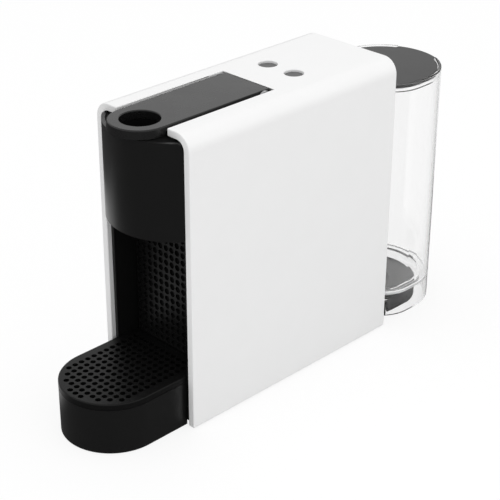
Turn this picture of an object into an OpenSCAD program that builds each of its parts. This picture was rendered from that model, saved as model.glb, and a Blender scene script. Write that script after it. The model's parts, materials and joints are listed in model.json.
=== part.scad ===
// Slim pod coffee machine: a folded outer cover over a black chassis, a head with a lift-up lever and a
// sliding brew cage, a pull-out drip tray with its used-capsule bin, and a clear water tank at the back.
// +Z is up, the front faces -Y, and the origin is on the table under the middle of the machine.

/* [Overall] */
// Height of the machine above the table
total_h = 204; // [201:0.5:210]
// Width over the outer cover
cover_w = 84; // [83:0.5:92]
// Length of the outer cover, front edge to rear edge
cover_len = 187; // [185:0.5:200]
// How far the drip tray stands out in front of the cover
tray_reach = 65.5; // [60:0.5:80]
// Length of the water tank
tank_len = 75.5; // [66:0.5:84]
// Gap between the cover and the water tank
tank_gap = 2; // [1:0.25:4]

/* [Outer cover] */
// Thickness of the cover's top and sides
cover_wall = 5; // [4.5:0.1:5.6]
// Outer radius along the cover's top edges
cover_edge_r = 11; // [9:0.5:13]
// Gap between the table and the cover's lower edges
cover_lift = 1.5; // [1:0.25:2.5]
// Length of the lever slot from the cover's front edge
slot_len = 89.5; // [87:0.25:91]
// Gap beside the lever in its slot
slot_gap = 0.8; // [0.5:0.1:1.5]
// Thickness of the black side frames
frame_t = 2.6; // [2:0.1:3]
// How far the side frames lie behind the cover's front edge
frame_back = 3.2; // [1:0.1:5]

/* [Head] */
// How far the curved head stands out in front of the cover
head_proud = 17.8; // [16:0.2:20]
// Radius of the head's curved front
head_front_r = 44.8; // [43:0.2:50]
// Wall of the head cover
head_wall = 2.4; // [1.8:0.1:2.8]
// Height of the head, from its floor to the cover's top
head_h = 70.5; // [69:0.5:73]
// Depth of the finger well under the lever's hole
well_depth = 25; // [18:0.5:28]
// Thickness of the head's floor plate
head_floor_t = 2.5; // [2:0.1:3]

/* [Lever] */
// Width of the lever's top face
lever_top_w = 39.6; // [38:0.2:40.8]
// Width of the lever's lower flanges, which carry the cam plates
lever_w = 44.4; // [43.6:0.2:45.6]
// Height of the lever's edge, and of its hinge barrel's radius
lever_t = 5.6; // [5.2:0.1:6]
// Thickness of the lever's flanges
lever_flange_t = 2; // [1.6:0.1:2.4]
// How far the lever's nose stands out in front of the cover
lever_reach = 20.7; // [20:0.1:21.5]
// Radius of the finger hole
finger_r = 12.6; // [11:0.1:13.5]
// How far the lever lifts, in degrees
lever_angle = 75; // [60:1:78]
// Radius of the hinge pin
hinge_pin_r = 2; // [1.5:0.1:2.4]
// Thickness of each steel cam plate
cam_t = 1.6; // [1.2:0.1:1.8]

/* [Brew unit] */
// Depth of the brew axis below the head deck
brew_drop = 38; // [37:0.25:39]
// Stroke of the brew cage while the lever lifts
cage_stroke = 20; // [16:0.5:22]
// Width of the brew cage
cage_w = 39.6; // [38:0.2:40]
// Radius of the capsule chamber
chamber_r = 16.5; // [15.5:0.1:17]
// Length of the brew cage
cage_len = 34; // [32:0.5:35]
// Radius of the cage's cam pins
cam_pin_r = 3; // [2.5:0.1:3.4]
// Thickness of the brew frame's side plates
brew_plate_t = 3; // [2.4:0.1:3.4]
// Outer radius of the coffee spout
spout_r = 7; // [6:0.1:8]

/* [Drip tray] */
// Height of the drip grid above the table
tray_h = 37; // [35:0.5:39]
// Height of the drip grid's edge
grid_h = 4.5; // [4:0.1:5.5]
// Thickness of the drip grid's plate
grid_t = 2.4; // [1.8:0.1:3]
// Wall of the drip tray
tray_wall = 2.4; // [1.8:0.1:3]
// Distance between the grid's holes
hole_pitch = 5.2; // [5:0.1:6]
// Diameter of the grid's holes
hole_d = 3.8; // [3:0.1:4.2]
// Depth of the cup recess behind the cover's front edge
recess_depth = 19.5; // [16:0.5:20]
// Length of the used-capsule bin
bin_len = 56; // [54:0.5:57]
// Wall of the used-capsule bin
bin_wall = 2; // [1.6:0.1:2.6]
// Free height between the bin and the head
bin_gap = 8; // [7:0.25:9]

/* [Water tank] */
// How far the tank's sides lie inside the cover's sides
tank_inset = 2.5; // [1.5:0.25:3.5]
// Radius of the tank's upright corners next to the cover
tank_corner_r = 26; // [20:0.5:28]
// Height of the tank's rim above the table
tank_top = 180.5; // [175:0.5:185]
// Wall of the water tank
tank_wall = 2.2; // [1.8:0.1:2.8]
// Height of the tank's lower edge above the table
tank_lift = 1; // [0.8:0.1:2]
// Thickness of the tank's floor
tank_floor_t = 2.2; // [1.8:0.1:3]
// Thickness of the tank's lid
lid_t = 2.8; // [2:0.1:3.4]
// Width of the ledge that carries the lid
ledge_w = 3; // [2.4:0.1:4]

/* [Base] */
// Height of the rubber feet
foot_h = 2; // [1.8:0.1:3]
// Radius of the rubber feet
foot_r = 6; // [5:0.25:8]
// Thickness of the chassis floor
floor_t = 3; // [2.4:0.1:3.4]
// How far the dock's sides lie inside the water tank's sides
dock_inset = 7.5; // [7:0.25:9]
// How far the dock reaches behind the cover
dock_reach = 65; // [62:0.5:67]
// Height of the dock's top above the table
dock_top = 13.4; // [13:0.1:14.5]
// Wall of the dock
dock_wall = 2.4; // [2:0.1:3]
// Radius of the cord gland's bore
gland_r = 3.4; // [3:0.1:3.6]

/* [Buttons] */
// Distance between the two buttons
button_pitch = 23.4; // [20:0.2:28]
// Radius of a button's cap
button_r = 6.15; // [5.5:0.05:7]
// How far the buttons lie behind the lever slot
button_back = 30.25; // [29.5:0.25:33]
// Depth of the button caps below the cover's top
button_sink = 1.5; // [0.4:0.1:2]
// Travel of a button
button_travel = 1.2; // [0.8:0.1:1.4]

/* [Water path] */
// Half width of the pump's square coil block
pump_half = 17; // [15:0.25:18]
// Radius of the pump plunger
plunger_r = 4; // [3.5:0.1:4.5]
// Stroke of the pump plunger
pump_stroke = 4; // [3:0.1:5]
// Radius of the water hoses
hose_r = 2.6; // [2.2:0.1:3]
// Outer radius of the flow meter
meter_r = 12; // [11:0.25:13]
// Lift of the tank valve's plunger
valve_lift = 3; // [2:0.1:3.2]

/* [Fits] */
// Radial clearance of a running fit
run_fit = 0.05; // [0.02:0.01:0.08]
// Gap between bodies that slide past each other
slide_gap = 0.3; // [0.2:0.05:0.4]

/* [Hidden] */
$fn = 64;
small = 0.01;

// Lengthwise places
total_len = tray_reach + cover_len + tank_gap + tank_len;
nose_y = -total_len / 2;
front_y = nose_y + tray_reach;
rear_y = front_y + cover_len;
tank_y0 = rear_y + tank_gap;
tank_y1 = tank_y0 + tank_len;
slot_y = front_y + slot_len;
recess_y = front_y + recess_depth;
bin_y1 = recess_y + bin_len;

// Half widths
cover_half = cover_w / 2;
inner_half = cover_half - cover_wall;
bay_half = inner_half - frame_t;
lever_half = lever_w / 2;
slot_half = lever_half + slot_gap;
tray_half = bay_half - slide_gap;
bin_half = tray_half - 1.6;

// Heights
cover_in_z = total_h - cover_wall;
deck_z = total_h - lever_t - 0.4;
deck_t = 3;
floor_z = foot_h + floor_t;
head_z = total_h - head_h;
head_floor_top = head_z + head_floor_t;
frame_low_z = head_z - slide_gap;
brew_z = deck_z - brew_drop;

// Head
head_half = inner_half - slide_gap;
head_arc_y = front_y - head_proud + head_front_r;
head_in_half = head_half - head_wall;
head_back_y = front_y + 59.5;
well_r = finger_r + 0.4;
nose_r = lever_top_w / 2;
lever_y = front_y - lever_reach + nose_r;
spout_y = front_y + 2.5;

// Lever hinge, and the cam that drives the brew cage
hinge_y = slot_y - 0.4 - lever_t;
hinge_z = total_h - lever_t;
barrel_r = lever_t;
end_r = sqrt(2) * lever_t + 0.28;
cam_pin_dy = -42;
cam_pin_dz = -24;
cam_pin_y = hinge_y + cam_pin_dy;
cam_pin_z = hinge_z + cam_pin_dz;
cam_steps = 20;
arc_steps = 10;
cam_band = 4.2;
cam_slot_r = cam_pin_r + 0.2;
cam_x1 = lever_half;
cam_x0 = lever_half - cam_t;
ear_x0 = slot_half - 0.1;
ear_x1 = ear_x0 + brew_plate_t;
ear_r = hinge_pin_r + 1.4;

// Brew unit
plate_y = cam_pin_y - 13;
plate_t = 3;
cage_half = cage_w / 2;
cage_y0 = plate_y + 0.5;
cage_y1 = cage_y0 + cage_len;
cage_z0 = brew_z - 19;
cage_z1 = brew_z + 19;
rail_z = cage_z0 - slide_gap;
brew_front_y = plate_y - plate_t;
brew_rear_y = hinge_y + cam_at(lever_angle)[0] + cam_slot_r + cam_band + 3.5;
brew_back_z = brew_z + 16;
chamber_depth = 27;

// Drawer
drawer_floor_z = floor_z + slide_gap;
tray_arc_y = nose_y + tray_half;
grid_z0 = tray_h - grid_h;
bin_z1 = head_z - bin_gap;
spout_z = bin_z1 + 0.8;
shelf_t = 3;
shelf_z = bin_z1 - shelf_t - 2.5;

// Tank and dock
tank_half = cover_half - tank_inset;
tank_arc_y = tank_y1 - tank_half;
tank_floor_z = dock_top + slide_gap;
lid_z1 = tank_top - 0.6;
lid_z0 = lid_z1 - lid_t;
ledge_z1 = lid_z0;
ledge_t = 2.6;
dock_half = tank_half - dock_inset;
dock_y1 = rear_y + dock_reach;
dock_arc_y = dock_y1 - dock_half;
socket_y = dock_arc_y - 2;
socket_r = 15;
socket_wall = 2;
seal_t = 1.4;
socket_z = floor_z;
port_z = socket_z + hose_r + 0.7;
valve_r = 4.4;
spring_len = valve_lift + 3.4;
gland_y = rear_y + 13;
gland_z = floor_z + 2.8;
gland_out_r = gland_r + 1.5;
wire_r = 1.8;
wire_x = -dock_half + 6.5;
gland_in = 4.2;
rear_wall_y = rear_y - 3.5;
rear_wall_t = 2.5;

// Buttons
button_y = slot_y + button_back;
button_x = button_pitch / 2;
button_top_z = total_h - button_sink;
flange_r = button_r + 1.4;
switch_z1 = cover_in_z - 10.6;
board_z1 = switch_z1 - 4.4;
board_t = 1.6;
carrier_t = 2.4;
carrier_drop = board_t + carrier_t;

// Water path
pump_x = 10;
pump_z = floor_z + pump_half + 16;
pump_y0 = bin_y1 + 34;
pump_y1 = rear_wall_y - 37.5;
hose_top_z = pump_z + pump_half + 7;
pump_front_y = pump_y0 - 18;
pump_rear_y = pump_y1 + 14;
plunger_y0 = pump_y0 + 4;
plunger_y1 = pump_y1 - 4;
meter_x = -bay_half + meter_r + 3;
meter_y = pump_y1 + 12;
meter_z0 = floor_z;
meter_z1 = floor_z + 13;
block_y0 = brew_rear_y + 8;
tube_x = 12;
tube_r = 4.2;
tube_out = 2;
block_y1 = rear_wall_y - tube_x - tube_r - tube_out - 6;
block_z0 = shelf_z + 8;
block_z1 = block_z0 + 29;
block_half = tube_x + 7;
loom_x = -bay_half + 5;
loom_y = block_y1 - 8;
feed_z = block_z0 + 3;
rise_y = pump_front_y - 6;
hose_z = rail_z - hose_r - 0.8;
feed_y = cage_y1 - 4;

module box3(x0, x1, y0, y1, z0, z1) {
  translate([x0, y0, z0]) cube([x1 - x0, y1 - y0, z1 - z0]);
}

module xcyl(r, x0, x1, y, z) {
  translate([x0, y, z]) rotate([0, 90, 0]) cylinder(r = r, h = x1 - x0);
}

module ycyl(r, x, y0, y1, z) {
  translate([x, y0, z]) rotate([-90, 0, 0]) cylinder(r = r, h = y1 - y0);
}

module zcyl(r, x, y, z0, z1) {
  translate([x, y, z0]) cylinder(r = r, h = z1 - z0);
}

module both_sides() {
  children();
  mirror([1, 0, 0]) children();
}

// Plan outline with a half-round end at arc_y and a straight end at flat_y
module arch(half, arc_y, flat_y) {
  forward = flat_y > arc_y;
  intersection() {
    translate([0, arc_y]) circle(r = half);
    translate([-half, forward ? arc_y - half : arc_y]) square([2 * half, half]);
  }
  translate([-half, min(arc_y, flat_y)]) square([2 * half, abs(flat_y - arc_y)]);
}

module arch_block(half, arc_y, flat_y, z0, z1) {
  translate([0, 0, z0]) linear_extrude(z1 - z0) arch(half, arc_y, flat_y);
}

// Plan of the water tank, taken in by inset all round, with rounded corners next to the cover
module tank_plan(inset) {
  half = tank_half - inset;
  y0 = tank_y0 + inset;
  r = max(tank_corner_r - inset, 1);
  arch(half, tank_arc_y, y0 + r);
  translate([-half + r, y0]) square([2 * (half - r), 2 * r]);
  for (s = [-1, 1]) translate([s * (half - r), y0 + r]) circle(r = r);
}

module tank_block(inset, z0, z1) {
  translate([0, 0, z0]) linear_extrude(z1 - z0) tank_plan(inset);
}

// The head's block up to y1, taken in by inset: straight sides closed by one shallow arc in front
module head_block(inset, y1, z0, z1) {
  half = head_half - inset;
  front = head_arc_y - head_front_r;
  translate([0, 0, z0]) linear_extrude(z1 - z0) intersection() {
    translate([-half, front]) square([2 * half, y1 - front]);
    union() {
      translate([0, head_arc_y]) circle(r = head_front_r - inset);
      translate([-half, head_arc_y]) square([2 * half, y1 - head_arc_y]);
    }
  }
}

// Front outline of the cover, taken in by inset all round, with its legs down to foot_z
module cover_outline(inset, foot_z) {
  half = cover_half - inset;
  top = total_h - inset;
  r = cover_edge_r - inset;
  translate([-half, foot_z]) square([2 * half, top - r - foot_z]);
  translate([-half + r, foot_z]) square([2 * (half - r), top - foot_z]);
  for (s = [-1, 1]) translate([s * (half - r), top - r]) circle(r = r);
}

module cover_block(inset, foot_z, y0, y1) {
  translate([0, y1, 0]) rotate([90, 0, 0]) linear_extrude(y1 - y0) cover_outline(inset, foot_z);
}

// A hose or wire through a list of points, with a round fitting at each bend
module route(points, r) {
  for (i = [0:len(points) - 2]) {
    a = points[i];
    b = points[i + 1];
    d = b - a;
    l = norm(d);
    translate(a) rotate([0, acos(d[2] / l), atan2(d[1], d[0])]) cylinder(r = r, h = l, $fn = 32);
  }
  for (i = [1:1:len(points) - 2]) translate(points[i]) rotate([20, 30, 45]) sphere(r = r + 0.5, $fn = 32);
}

module outer_cover() {
  color("white") difference() {
    cover_block(0, cover_lift, front_y, rear_y);
    cover_block(cover_wall, cover_lift - 1, front_y - 1, rear_y + 1);
    // Lever slot, undercut at its end so that the lever's square end swings clear
    box3(-slot_half, slot_half, front_y - 1, hinge_y, cover_in_z - 1, total_h + 1);
    xcyl(end_r, -slot_half, slot_half, hinge_y, hinge_z);
    both_sides() box3(slot_half - 1, ear_x1 + 0.4, hinge_y - ear_r - 0.6, hinge_y + ear_r + 0.6,
      cover_in_z - 1, hinge_z + ear_r + 0.3);
    both_sides() zcyl(button_r + slide_gap, button_x, button_y, cover_in_z - 1, total_h + 1);
  }
}

// One black side frame: a plate inside the cover, low under the head and full height behind it
module side_frame() {
  top_z = total_h - cover_edge_r - 0.2;
  box3(bay_half, inner_half, front_y + frame_back, rear_y - 1, cover_lift + 0.5, frame_low_z);
  box3(bay_half, inner_half, head_back_y + 0.4, rear_y - 1, frame_low_z - small, top_z);
}

module side_frame_right() {
  color("#202020") side_frame();
}

module side_frame_left() {
  color("#202020") mirror([1, 0, 0]) side_frame();
}

// Chassis floor: a plate between the side frames with a tongue under the tank
module base_chassis() {
  color("#202020") difference() {
    union() {
      box3(-bay_half, bay_half, front_y + 3.5, rear_y - 1, foot_h, floor_z);
      arch_block(dock_half, dock_arc_y, rear_y - 1 - small, foot_h, floor_z);
    }
    for (p = screw_spots) zcyl(1.6, p[0], p[1], foot_h - 1, floor_z + 1);
    xcyl(gland_out_r, -dock_half - 1, -dock_half + gland_in + 1, gland_y, gland_z);
  }
}

screw_spots = [[-24, bin_y1 + 8], [24, bin_y1 + 8], [-12, dock_arc_y + 22], [12, dock_arc_y + 22]];

// Black dock that stands under the tank, with the socket for the tank's valve
module dock_cover() {
  color("#202020") difference() {
    arch_block(dock_half, dock_arc_y, rear_y - 1, floor_z, dock_top);
    difference() {
      arch_block(dock_half - dock_wall, dock_arc_y, rear_y - 2, floor_z - 1, dock_top - dock_wall);
      zcyl(socket_r + socket_wall, 0, socket_y, floor_z - 2, dock_top);
      for (p = [screw_spots[2], screw_spots[3]]) zcyl(4, p[0], p[1], floor_z - 2, dock_top);
      box3(-dock_half, -dock_half + gland_in + 0.2, gland_y - gland_out_r - 2, gland_y + gland_out_r + 2,
        floor_z - 2, dock_top);
    }
    zcyl(socket_r, 0, socket_y, socket_z - 1, dock_top + 1);
    ycyl(hose_r + 0.2, 0, rear_y - 3, socket_y - socket_r + 2, port_z);
    for (p = [screw_spots[2], screw_spots[3]]) zcyl(1.3, p[0], p[1], floor_z - 1, dock_top - dock_wall);
    xcyl(gland_out_r, -dock_half - 1, -dock_half + gland_in + 1, gland_y, gland_z);
  }
}

// Back plate of the machine behind which the tank stands
module rear_wall() {
  color("#202020") difference() {
    box3(-bay_half, bay_half, rear_wall_y, rear_wall_y + rear_wall_t, floor_z, total_h - cover_edge_r - 0.2);
    ycyl(hose_r + 0.4, 0, rear_wall_y - 1, rear_wall_y + rear_wall_t + 1, port_z);
    ycyl(wire_r + 0.8, wire_x, rear_wall_y - 1, rear_wall_y + rear_wall_t + 1, gland_z);
  }
}

// Wall between the drawer bay and the pump
module bulkhead() {
  color("#262626") box3(-bay_half, bay_half, bin_y1 + 2, bin_y1 + 4.5, floor_z, shelf_z + shelf_t);
}

// Shelf over the pump that carries the thermoblock
module mid_shelf() {
  color("#262626") difference() {
    box3(-bay_half, bay_half, bin_y1 + 4.5, rear_wall_y, shelf_z, shelf_z + shelf_t);
    for (p = shelf_holes) zcyl(p[2], p[0], p[1], shelf_z - 1, shelf_z + shelf_t + 1);
  }
}

shelf_holes = [[pump_x, rise_y, hose_r + 0.9], [loom_x, loom_y, wire_r + 1.6]];

// Room for the head: the inside of the cover, run on in front of it
module head_room() {
  cover_block(cover_wall + slide_gap / 2, head_z - 1, front_y - head_proud - 1, rear_y);
}

// Curved front and side walls of the head
module head_cover() {
  color("#1c1c1c") intersection() {
    difference() {
      head_block(0, head_back_y, head_z, deck_z);
      head_block(head_wall, head_back_y + 1, head_z - 1, deck_z + 1);
    }
    head_room();
  }
}

module head_floor() {
  color("#1c1c1c") difference() {
    head_block(head_wall, brew_front_y - brew_plate_t, head_z, head_floor_top);
    zcyl(spout_r + 0.2, 0, spout_y, head_z - 1, head_floor_top + 1);
  }
}

// Top of the head, with the finger well under the lever's hole and the opening for capsules behind it
module head_deck() {
  open_y = plate_y - 9;
  color("#141414") intersection() {
    difference() {
      union() {
        head_block(head_wall, head_back_y, deck_z - deck_t, deck_z);
        intersection() {
          zcyl(well_r + 2, 0, lever_y, deck_z - well_depth - 2, deck_z);
          head_block(head_wall, head_back_y, deck_z - well_depth - 3, deck_z);
        }
      }
      zcyl(well_r, 0, lever_y, deck_z - well_depth, deck_z + 1);
      box3(-ear_x1 - 0.3, ear_x1 + 0.3, open_y, head_back_y + 1, deck_z - deck_t - 1, deck_z + 1);
    }
    head_room();
  }
}

// Brew frame: front wall, two side plates with the hinge ears, cage rails and a rear wall
module brew_frame() {
  top_z = deck_z - deck_t - 0.3;
  color("#2e2e2e") difference() {
    union() {
      box3(-head_in_half + 0.2, head_in_half - 0.2, brew_front_y - brew_plate_t, brew_front_y,
        head_floor_top, top_z);
      both_sides() {
        box3(ear_x0, ear_x1, brew_front_y - small, hinge_y + ear_r, head_floor_top, top_z);
        box3(ear_x0, ear_x1, hinge_y, brew_rear_y, head_floor_top, brew_back_z);
        box3(ear_x0, ear_x1, hinge_y - ear_r, hinge_y + ear_r, top_z - small, hinge_z);
        xcyl(ear_r, ear_x0, ear_x1, hinge_y, hinge_z);
        box3(cage_half - 3.8, ear_x0 + small, cage_y0 + 2, cage_y1 + cage_stroke, rail_z - 2.6, rail_z);
        box3(cage_half + slide_gap, ear_x0 + small, cage_y0 + 2, cage_y1 + cage_stroke, rail_z - small,
          brew_z - 9.5);
      }
      box3(-bay_half, bay_half, brew_rear_y - 2.5, brew_rear_y, head_floor_top, brew_back_z);
    }
    // Seat of the extraction plate, and the coffee's way out through the front wall
    ycyl(chamber_r + 1.5, 0, brew_front_y - 1.5, brew_front_y + 1, brew_z);
    ycyl(3, 0, brew_front_y - brew_plate_t - 1, brew_front_y, brew_z - 12);
    // Window of the rear wall for the cam plates, and the hole for the brew hose
    box3(-ear_x0, ear_x0, brew_rear_y - 3.5, brew_rear_y + 1, rail_z + 4, brew_back_z - 4);
    ycyl(hose_r + 0.5, 0, brew_rear_y - 3.5, brew_rear_y + 1, hose_z);
    both_sides() xcyl(hinge_pin_r + 0.02, ear_x0 - 1, ear_x1 + 1, hinge_y, hinge_z);
    // Keyways of the rounded cover edge
    both_sides() box3(head_in_half - 3.5, head_in_half + 1, brew_front_y - 4, brew_front_y + 1,
      brew_back_z, top_z + 1);
  }
}

// Pierced steel disc that the capsule is pressed against
module extraction_plate() {
  ring = [for (a = [0:60:300]) [9 * cos(a), 9 * sin(a)]];
  color("silver") difference() {
    ycyl(chamber_r + 1.3, 0, brew_front_y - 1.5, plate_y - 1, brew_z);
    for (p = concat([[0, 0]], ring)) ycyl(0.8, p[0], brew_front_y - 3, plate_y + 1, brew_z + p[1], $fn = 16);
  }
}

// Spout: a short channel from the front wall and a nozzle through the head's floor
module coffee_spout() {
  wall_y = brew_front_y - brew_plate_t;
  channel_z = brew_z - 12;
  color("#1c1c1c") difference() {
    union() {
      zcyl(spout_r, 0, spout_y, spout_z, channel_z + 6);
      box3(-spout_r, spout_r, spout_y, wall_y, channel_z - 6, channel_z + 6);
    }
    zcyl(spout_r - 2.6, 0, spout_y, spout_z - 1, channel_z + 4);
    ycyl(3, 0, spout_y, wall_y + 1, channel_z);
  }
}

// Guide that leads a capsule down between the extraction plate and the open cage
module capsule_guide() {
  z0 = cage_z1 + 0.6;
  z1 = deck_z - 4;
  half = cam_x0 - 0.8;
  color("#2e2e2e") difference() {
    box3(-half, half, brew_front_y, plate_y + 22, z0, z1);
    box3(-half + 2, half - 2, plate_y - 1, plate_y + 20, z0 - 1, z1 + 1);
  }
}

module hinge_pin() {
  color("silver") xcyl(hinge_pin_r, -ear_x1, ear_x1, hinge_y, hinge_z);
}

// Path of the brew cage's cam pin as seen from the lever, at lever angle a
function cam_at(a) =
  let (t = a / lever_angle, y = cam_pin_dy + cage_stroke * t, z = cam_pin_dz)
  [y * cos(a) - z * sin(a), y * sin(a) + z * cos(a)];
function cam_dir(a) =
  let (d = cam_at(a + 0.5) - cam_at(a - 0.5))
  d / norm(d);
function cam_side(a, off) = cam_at(a) + off * [cam_dir(a)[1], -cam_dir(a)[0]];
function cam_edge(off) = [for (i = [0:cam_steps]) cam_side(i * lever_angle / cam_steps, off)];
function cam_edge_back(off) = [for (i = [cam_steps:-1:0]) cam_side(i * lever_angle / cam_steps, off)];

// Points of an arc about c between two angles, without its ends
function arc_inside(c, r, a0, a1) =
  [for (i = [1:arc_steps - 1])
    let (a = a0 + (a1 - a0) * i / arc_steps) c + r * [cos(a), sin(a)]];

module cam_plate_outline() {
  off = cam_slot_r + cam_band;
  start = cam_at(0);
  stop = cam_at(lever_angle);
  start_turn = atan2(cam_dir(0)[1], cam_dir(0)[0]);
  stop_turn = atan2(cam_dir(lever_angle)[1], cam_dir(lever_angle)[0]);
  difference() {
    union() {
      polygon(concat([[0, 0], [start[0] - off, 0], [start[0] - off, start[1]]],
        arc_inside(start, off, 180, start_turn + 270), cam_edge(off),
        arc_inside(stop, off, stop_turn - 90, 90), [stop + [0, off]]));
      circle(r = barrel_r);
    }
    polygon(concat(cam_edge(cam_slot_r), arc_inside(stop, cam_slot_r, stop_turn - 90, stop_turn + 90),
      cam_edge_back(-cam_slot_r), arc_inside(start, cam_slot_r, start_turn + 90, start_turn + 270)));
    circle(r = hinge_pin_r + run_fit);
  }
}

// Two steel plates under the lever, whose slots drive the brew cage's pins
module cam_plates() {
  color("silver") both_sides() translate([cam_x0, hinge_y, hinge_z]) rotate([90, 0, 90])
    linear_extrude(cam_t) cam_plate_outline();
}

// Lever: a ribbed shell with the finger hole at its nose and the hinge barrel at its rear end
module lever() {
  skin = 2.6;
  rim = 2.2;
  end_y = hinge_y + lever_t;
  flange_y = front_y + 2;
  color("#1a1a1a") difference() {
    union() {
      arch_block(nose_r, lever_y, end_y, hinge_z, total_h);
      box3(-lever_half, lever_half, flange_y, hinge_y - barrel_r - 0.5, hinge_z, hinge_z + lever_flange_t);
      xcyl(barrel_r, -cam_x0 + 0.1, cam_x0 - 0.1, hinge_y, hinge_z);
    }
    difference() {
      arch_block(nose_r - rim, lever_y, hinge_y - barrel_r, hinge_z - 1, total_h - skin);
      zcyl(finger_r + rim, 0, lever_y, hinge_z - 2, total_h);
      for (i = [1:3]) box3(-nose_r, nose_r, lever_y + 20 * i - 0.9, lever_y + 20 * i + 0.9,
        hinge_z - 2, total_h);
    }
    zcyl(finger_r, 0, lever_y, hinge_z - 1, total_h + 1);
    xcyl(hinge_pin_r + run_fit, -lever_half - 1, lever_half + 1, hinge_y, hinge_z);
  }
}

// Sliding brew cage with the capsule chamber and its two cam pins
module brew_cage() {
  color("#3a3a3a") difference() {
    union() {
      box3(-cage_half, cage_half, cage_y0, cage_y1, cage_z0, cage_z1);
      xcyl(cam_pin_r, -cam_x1, cam_x1, cam_pin_y, cam_pin_z);
    }
    ycyl(chamber_r, 0, cage_y0 - 1, cage_y0 + chamber_depth, brew_z);
    ycyl(chamber_r + 1.8, 0, cage_y0 - 1, cage_y0 + 2, brew_z);
    zcyl(1.5, 0, feed_y, cage_z0 - 1, brew_z, $fn = 24);
    ycyl(1.5, 0, cage_y0 + chamber_depth - 1, feed_y, brew_z, $fn = 24);
  }
}

// Disc at the back of the chamber with three hollow needles
module injector_plate() {
  back_y = cage_y0 + chamber_depth;
  color("silver") difference() {
    union() {
      ycyl(chamber_r - 1, 0, back_y - 2, back_y, brew_z);
      for (a = [90, 210, 330])
        translate([8 * cos(a), back_y - 5, brew_z + 8 * sin(a)]) rotate([-90, 0, 0])
          cylinder(r1 = 0.4, r2 = 1.4, h = 4, $fn = 24);
    }
    ycyl(1, 0, back_y - 3, back_y + 1, brew_z, $fn = 24);
  }
}

module cage_seal() {
  color("#101010") translate([0, cage_y0 + 1.1, brew_z]) rotate([90, 0, 0])
    rotate_extrude() translate([chamber_r + 0.9, 0]) circle(r = 0.75, $fn = 24);
}

// Cast heater block on four legs
module thermoblock() {
  color("#b0b0b0") difference() {
    union() {
      box3(-block_half, block_half, block_y0, block_y1, block_z0, block_z1);
      for (x = [-1, 1], y = [block_y0 + 6, block_y1 - 6]) zcyl(4, x * (block_half - 5), y, shelf_z + shelf_t,
        block_z0 + 1);
      ycyl(4, 0, block_y0 - 3, block_y0 + 1, hose_z);
    }
    both_sides() ycyl(tube_r + 0.1, tube_x, block_y0 - 1, block_y1 + 1, block_z1 - 7);
    ycyl(hose_r + 0.1, 0, block_y0 - 4, block_y0 + 8, hose_z);
    ycyl(hose_r + 0.1, pump_x, block_y0 - 1, block_y0 + 4, feed_z);
  }
}

// U-shaped heating tube pressed through the thermoblock
module heater_tube() {
  z = block_z1 - 7;
  color("#8c8c8c") {
    both_sides() ycyl(tube_r, tube_x, block_y0 - 6, block_y1 + tube_out, z);
    translate([0, block_y1 + tube_out - small, z]) rotate_extrude(angle = 180)
      translate([tube_x, 0]) circle(r = tube_r);
  }
}

module thermostats() {
  x = block_half / 2;
  y = (block_y0 + block_y1) / 2;
  color("#d8d4c8") both_sides() {
    zcyl(8, x, y, block_z1, block_z1 + 5);
    for (d = [-4, 2]) box3(x + d, x + d + 2, y - 2, y + 2, block_z1 + 5 - small, block_z1 + 10);
  }
}

// Pump: a straight body with the plunger's bore, held in the coil
module pump_body() {
  color("#e0dcd0") difference() {
    union() {
      ycyl(9, pump_x, pump_front_y + 6, pump_y0 + 2, pump_z);
      ycyl(9, pump_x, pump_y0 + 2 - small, pump_y1 - 2, pump_z);
      ycyl(8, pump_x, pump_y1 - 2 - small, pump_rear_y - 5, pump_z);
      ycyl(4, pump_x, pump_front_y, pump_rear_y, pump_z);
    }
    ycyl(plunger_r + run_fit, pump_x, plunger_y0 - 8, plunger_y1 + pump_stroke + 2, pump_z);
    ycyl(1.5, pump_x, pump_front_y - 1, pump_rear_y + 1, pump_z, $fn = 24);
  }
}

module pump_coil() {
  color("#3c3c44") difference() {
    box3(pump_x - pump_half, pump_x + pump_half, pump_y0, pump_y1, pump_z - pump_half, pump_z + pump_half);
    ycyl(9.1, pump_x, pump_y0 - 1, pump_y1 - 2, pump_z);
    ycyl(8.1, pump_x, pump_y1 - 3, pump_y1 + 1, pump_z);
  }
}

// Rubber cradles that stand on the chassis and hold the pump's ends
module pump_mounts() {
  color("#181818") for (m = [[pump_y0 - 9, 9], [pump_y1 + 3, 8]]) difference() {
    box3(pump_x - 13, pump_x + 13, m[0], m[0] + 5, floor_z, pump_z + m[1] + 3);
    ycyl(m[1] + 0.1, pump_x, m[0] - 1, m[0] + 6, pump_z);
  }
}

module pump_plunger() {
  color("silver") difference() {
    ycyl(plunger_r, pump_x, plunger_y0, plunger_y1, pump_z);
    ycyl(1.2, pump_x, plunger_y0 - 1, plunger_y1 + 1, pump_z, $fn = 24);
  }
}

// Round flow meter with its inlet and outlet stubs
module flow_meter_body() {
  color("#e8e8e8") difference() {
    union() {
      zcyl(meter_r, meter_x, meter_y, meter_z0, meter_z1 - 2.5);
      ycyl(3, meter_x, meter_y, meter_y + meter_r + 5, port_z);
      ycyl(3, meter_x, meter_y - meter_r - 5, meter_y, port_z);
    }
    zcyl(meter_r - 2, meter_x, meter_y, meter_z0 + 2, meter_z1);
    ycyl(1.5, meter_x, meter_y - meter_r - 6, meter_y + meter_r + 6, port_z, $fn = 24);
  }
  color("#e8e8e8") zcyl(1.5, meter_x, meter_y, meter_z0 + 2 - small, meter_z1 - 3);
}

module flow_meter_lid() {
  color("#d0d0d0") zcyl(meter_r, meter_x, meter_y, meter_z1 - 2.5, meter_z1);
}

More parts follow.
